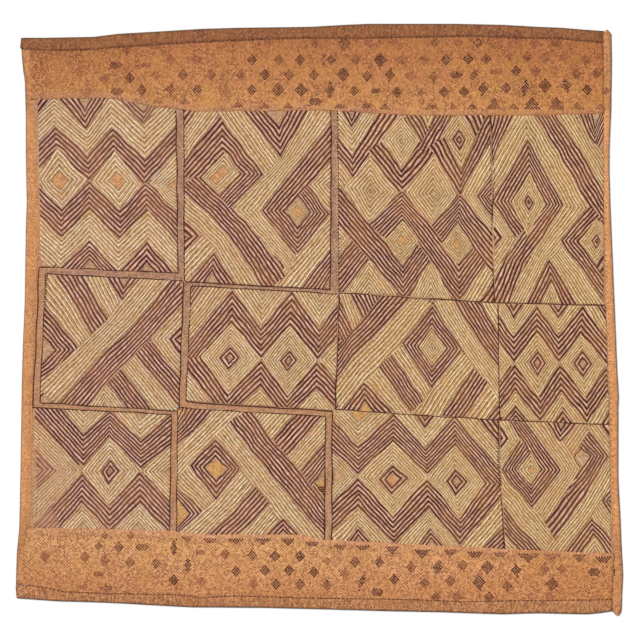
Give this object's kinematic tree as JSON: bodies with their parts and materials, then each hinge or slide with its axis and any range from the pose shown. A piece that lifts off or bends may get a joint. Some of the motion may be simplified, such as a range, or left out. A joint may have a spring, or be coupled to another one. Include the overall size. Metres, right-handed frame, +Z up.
{
  "type": "kuba raffia cloth",
  "caption": "Woven raffia cloth lying flat: an embroidered centre panel of interlaced diamonds and chevrons, with plain spotted bands above and below and folded side strips.",
  "frame": {"origin": "middle of the cloth's underside, on the surface it lies on", "axes": "+Z up through the cloth, out of its embroidered face; +X across the cloth to the right; +Y up the cloth"},
  "size_m": [0.6069, 0.591, 0.0028],
  "materials": {
    "embroidered_raffia": "matt raffia ground with dark brown and straw stem stitch",
    "band_raffia": "plain woven raffia with dark checkered spots, soft dull sheen",
    "strip_raffia": "plain folded raffia, matt",
    "raffia_thread": "dark sewing and embroidery raffia, matt"
  },
  "bodies": {
    "root": {"centre_panel": "embroidered_raffia", "top_band": "band_raffia", "bottom_band": "band_raffia", "left_strip": "strip_raffia", "right_strip": "strip_raffia"}
  },
  "joints": []
}
